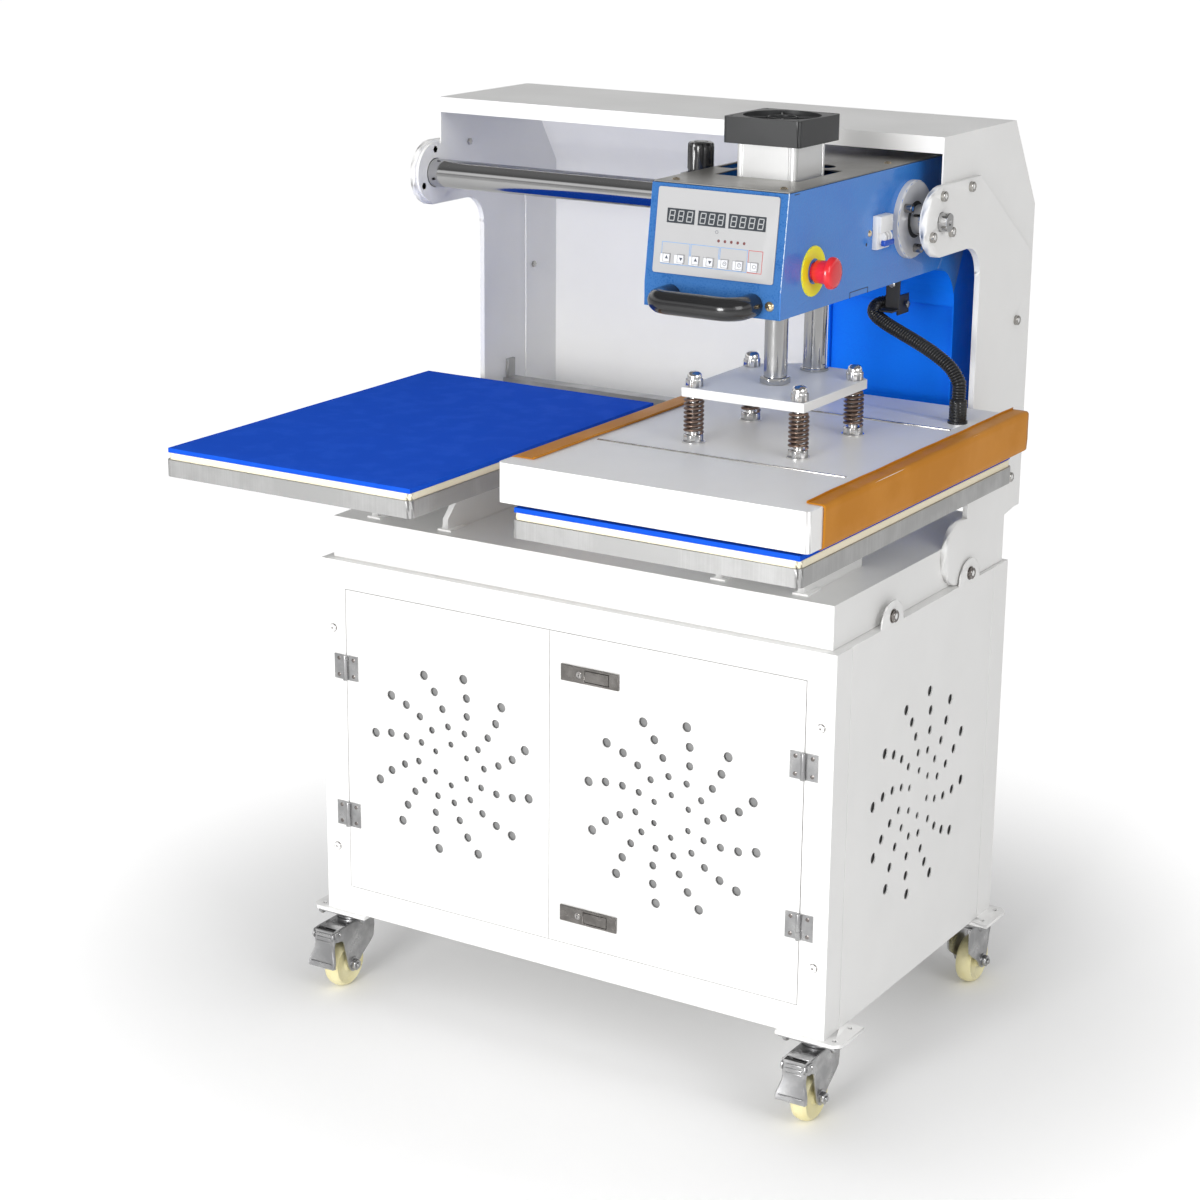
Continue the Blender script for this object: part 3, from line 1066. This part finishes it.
# ---------------------------------------------------------------- cylinder and fan
# A square air cylinder of satin extrusion with rounded corner columns. A boxed fan stands
# on it and blows down over the head.
satin = surface("satin_extrusion", (0.92, 0.92, 0.915), (0.86, 0.86, 0.855), (0.26, 0.36),
                scale=(700, 700, 12), patch=14, contrast=0.5, relief=0.12, metal=0.6)
barrel = Shape()
outline, column_at, column_radius = [], 36.6, 4.4
for quarter in range(4):
    turn = Matrix.Rotation(quarter * pi / 2, 2)
    corner = [(column_at + column_radius * cos(k * pi / 12),
               column_at + column_radius * sin(k * pi / 12)) for k in range(7)]
    side_run = [(40.2, 20), (40.2, 31.2), (38.6, 31.8), (38.6, 33.2), (40.6, 33.8)]
    outline += [turn @ Vector(p) for p in side_run + corner]
    outline += [turn @ Vector((b, a)) for a, b in reversed(side_run)]
cylinder_foot, cylinder_top = 1095.4, 1285.8
barrel.slab([(p.x, p.y, 0) for p in outline], (0, 0, cylinder_top - cylinder_foot))
barrel.put(station_x, station_y, cylinder_foot)
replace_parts(barrel.finish("air_cylinder_finished", "carriage", "cylinder_aluminium", satin,
                          sharp=30), "air_cylinder")
fan_plastic = surface("fan_plastic", (0.030, 0.031, 0.032), (0.040, 0.041, 0.042),
                      (0.32, 0.44), relief=0.08)
dressed("fan_frame", "carriage", fan_plastic, edge=0.9)
dressed("fan_rotor", "rotor", black_plastic, edge=0.4)
fan_ribs = Shape()
fan_ribs.spin([(17, 0), (18.4, 0), (18.4, 2.4), (17, 2.4), (17, 0)], steps=48)
fan_ribs.put(station_x, station_y, 1314.2)
for k in range(4):
    fan_ribs.bar((34, 2.4, 2.2), edge=0.5).lay(
        Matrix.Translation(at(station_x, station_y, 1315.2))
        @ Matrix.Rotation(0.5 + k * pi / 2, 4, "Z") @ Matrix.Translation((0.034, 0, 0)))
fan_ribs.finish("fan_ribs", "carriage", "black_plastic", fan_plastic)

# ---------------------------------------------------------------- ram and pressure plate
# The ram and a guide rod press a white steel plate, which hangs the heated platen on four
# sprung studs. Both rods have flats for a spanner above their nuts.
rod_steel = surface("hard_chromed_rod", (0.60, 0.60, 0.60), (0.52, 0.52, 0.52), (0.1, 0.18),
                    scale=(60, 60, 900), patch=20, relief=0.03, metal=1.0)
nut_steel = surface("bright_nut", (0.90, 0.89, 0.88), (0.74, 0.73, 0.72), (0.12, 0.22),
                    patch=70, relief=0.03, metal=1.0)
dressed("pressure_plate", "press", white_paint, edge=1.0)
plate_top = 980.8


def press_rod(name, node, x, y, top, nut):
    """A rod that stands on the pressure plate, with two flats over its nut or its collar."""
    rod, radius, half_flat = Shape(), 15, 13.4
    flat_foot, flat_top = 989.2, 1000.8
    rod.spin([(0, plate_top), (radius, plate_top), (radius, flat_foot - 0.6), (radius, flat_foot),
              (radius, flat_top), (radius, flat_top + 0.6), (radius, top - 0.6),
              (radius - 0.6, top), (0, top)], steps=56)
    for vert in rod.loose():
        if flat_foot - 0.2 < vert.co.z < flat_top + 0.2:
            vert.co.x = max(-half_flat, min(half_flat, vert.co.x))
    rod.put(x, y, 0)
    if nut:
        rod.prism(6, 19.8, 8.4, edge=1.2).put(x, y, 981)
        rod.spin([(0, 0), (31.7, 0), (31.7, 14), (0, 14)]).put(x, y, 1176)
    else:
        rod.spin([(15, 0), (18.5, 0), (18.5, 3), (17.8, 3.8), (15, 3.8)],
                 steps=40).put(x, y, 980.9)
    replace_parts(rod.finish(name, "press", "polished_steel", rod_steel), node)


press_rod("piston_rod_finished", "piston_rod", station_x, station_y, 1190, True)
press_rod("guide_rod_finished", "guide_rod", 281, -104, 1225, False)

# ---------------------------------------------------------------- heated platen
# An aluminium heater block under a folded white cover. Nuts, washers and cap nuts run on
# four studs, and two folded seams cross the cover.
dressed("heater_block", "platen", cast_metal, edge=0)
dressed("platen_cover", "platen", white_paint, edge=0.9,
        zones=[((425, -5, 908.6), (449, 20, 940), black_plastic)])
cover_top, stud_top = 908.5, 981.5
stud_spots = [(station_x + a * 75, station_y + b * 75) for a in (-1, 1) for b in (-1, 1)]
fittings = Shape()
for x, y in stud_spots:
    fittings.spin([(6.2, 0), (14.6, 0), (14.6, 1.9), (6.2, 1.9), (6.2, 0)],
                  steps=40).put(x, y, cover_top)
    fittings.prism(6, 12.8, 8.6, edge=1.0).put(x, y, cover_top + 2, turn=0.2)
    fittings.spin([(6.1, 919), (6.3, 919.5), (6.3, stud_top - 0.5), (6.1, stud_top)],
                  steps=24).put(x, y, 0)
    fittings.prism(6, 11.3, 10.2, edge=0.9).put(x, y, plate_top + 0.1, turn=0.3)
    fittings.spin([(9.6, 990.5), (9.5, 994), (8.4, 997.6), (5.8, 999.8), (2.6, 1000.4),
                   (0, 1000.5)], steps=32).put(x, y, 0)
fittings.finish("stud_fittings", "platen", "nickel_dark", nut_steel)
seams = Shape()
for seam_y in (-336, -38):
    seams.bar((354, 3.4, 2.2), edge=1.0).put(271.5, seam_y, 908.7)
seams.finish("cover_seams", "platen", "stainless", bolt_steel)
gland = Shape()
gland_profile = [(8, 0), (13.2, 0), (13.2, 3), (11.8, 4)]
for k in range(6):
    gland_profile += [(11.7, 5 + 4 * k), (11.7, 7.4 + 4 * k), (11.1, 7.8 + 4 * k),
                      (11.1, 8.6 + 4 * k)]
gland_profile += [(11.6, 30.2), (11, 30.9), (9.9, 30.9)]
gland.spin(gland_profile, steps=40).put(gland_x, gland_y, 908.4)
gland.finish("cable_gland", "platen", "black_plastic", black_conduit)

# ---------------------------------------------------------------- springs
# Four springs of flat brown wire press the platen down from the pressure plate. Each
# shortens and stretches between the two as the platen floats.
spring_brown = surface("brown_spring", (0.30, 0.21, 0.165), (0.20, 0.135, 0.105), (0.24, 0.38),
                       patch=80, relief=0.06, metal=0.85)
coil_radius, coil_foot, coil_top, turns, per_turn = 11.1, 921.3, 965.8, 8, 28
for index, (x, y) in enumerate(stud_spots):
    spring = Shape()
    wire = bmesh.ops.create_circle(spring.bm, cap_ends=True, segments=8, radius=1)["verts"]
    for turn, axis in ((pi / 8, "Z"), (pi / 2, "X")):
        bmesh.ops.rotate(spring.bm, cent=(0, 0, 0), matrix=Matrix.Rotation(turn, 3, axis),
                         verts=wire)
    bmesh.ops.scale(spring.bm, vec=(2.1, 1, 1.75), verts=wire)
    bmesh.ops.translate(spring.bm, vec=(coil_radius, 0, coil_foot), verts=wire)
    face = spring.bm.faces[:]
    rise = (coil_top - coil_foot) / (turns * per_turn)
    bmesh.ops.spin(spring.bm, geom=face, cent=(0, 0, 0), axis=(0, 0, 1), dvec=(0, 0, rise),
                   angle=2 * pi * turns, steps=turns * per_turn)
    spring.put(x, y, 0)
    mesh = spring.mesh()
    mesh.materials.append(spring_brown)
    wound = link_in(mesh, f"stud_coil_{index + 1}", sharp=60)
    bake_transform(wound)
    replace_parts(wound, f"stud_spring_{index + 1}")

# ---------------------------------------------------------------- release sheet
# A sheet of coated glass cloth that runs under the platen and up its two sides. Its edges
# are hemmed over wires on the cover, and it keeps soft creases along the sides.
gold_cloth = surface("coated_glass_cloth", (0.62, 0.25, 0.022), (0.54, 0.21, 0.016),
                     (0.34, 0.5), scale=(1100, 1100, 1100), patch=11, contrast=0.5,
                     relief=0.25, coat=0.05, specular=0.15)
wrap_x, wrap_out, wrap_low, wrap_high = 271.5, 217.3, 855.6, 908.6
run = [(-wrap_out + 33, wrap_high + 3.4), (-wrap_out + 33, wrap_high + 0.4),
       (-wrap_out + 28, wrap_high + 0.3), (-wrap_out + 14, wrap_high + 0.35),
       (-wrap_out + 2.2, wrap_high + 0.2), (-wrap_out, wrap_high - 2.2),
       (-wrap_out - 0.1, wrap_high - 18), (-wrap_out - 0.1, wrap_low + 16),
       (-wrap_out, wrap_low + 2.2), (-wrap_out + 2.2, wrap_low), (-wrap_out + 60, wrap_low),
       (0, wrap_low), (wrap_out - 60, wrap_low), (wrap_out - 2.2, wrap_low),
       (wrap_out, wrap_low + 2.2), (wrap_out + 0.1, wrap_low + 16),
       (wrap_out + 0.1, wrap_high - 18), (wrap_out, wrap_high - 2.2),
       (wrap_out - 2.2, wrap_high + 0.2), (wrap_out - 10, wrap_high + 0.4),
       (wrap_out - 18, wrap_high + 0.3), (wrap_out - 22, wrap_high + 0.5),
       (wrap_out - 22, wrap_high + 3.4)]
steps, cloth_length, cloth_front = 96, 592, -286
cloth = Shape()
line = [cloth.bm.verts.new((x, cloth_front, z)) for x, z in run]
edges = [cloth.bm.edges.new(pair) for pair in zip(line, line[1:])]
bmesh.ops.subdivide_edges(cloth.bm, edges=edges, cuts=2)
strip = cloth.bm.edges[:]
for step in range(steps):
    made = bmesh.ops.extrude_edge_only(cloth.bm, edges=strip)["geom"]
    strip = [e for e in made if isinstance(e, bmesh.types.BMEdge)]
    bmesh.ops.translate(cloth.bm, vec=(0, cloth_length / steps, 0),
                        verts=[v for v in made if isinstance(v, bmesh.types.BMVert)])
for vert in cloth.bm.verts:
    x, y, z = vert.co
    side = 1 if x > 0 else -1
    upright_part = max(0.0, min(1.0, (z - wrap_low - 4) / 12)) if abs(x) > wrap_out - 3 else 0.0
    wave = sin(y / 46 + side) * 0.5 + sin(y / 19 + z / 15) * 0.3 + sin(y / 88 - z / 9) * 0.35
    if abs(x) > wrap_out - 3:
        vert.co.x += side * upright_part * (0.55 + 0.5 * wave)
    elif z > wrap_high:
        vert.co.z += 0.35 + 0.3 * sin(y / 37 + side) + 0.2 * sin(y / 13)
cloth.put(wrap_x, station_y + 18, 0)
cloth_mesh = cloth.mesh()
cloth_mesh.materials.append(gold_cloth)
gold = link_in(cloth_mesh, "release_cloth", "platen", sharp=75)
thick = gold.modifiers.new("thickness", "SOLIDIFY")
thick.thickness = 0.0005
thick.offset = 1.0
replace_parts(gold, "release_sheet")
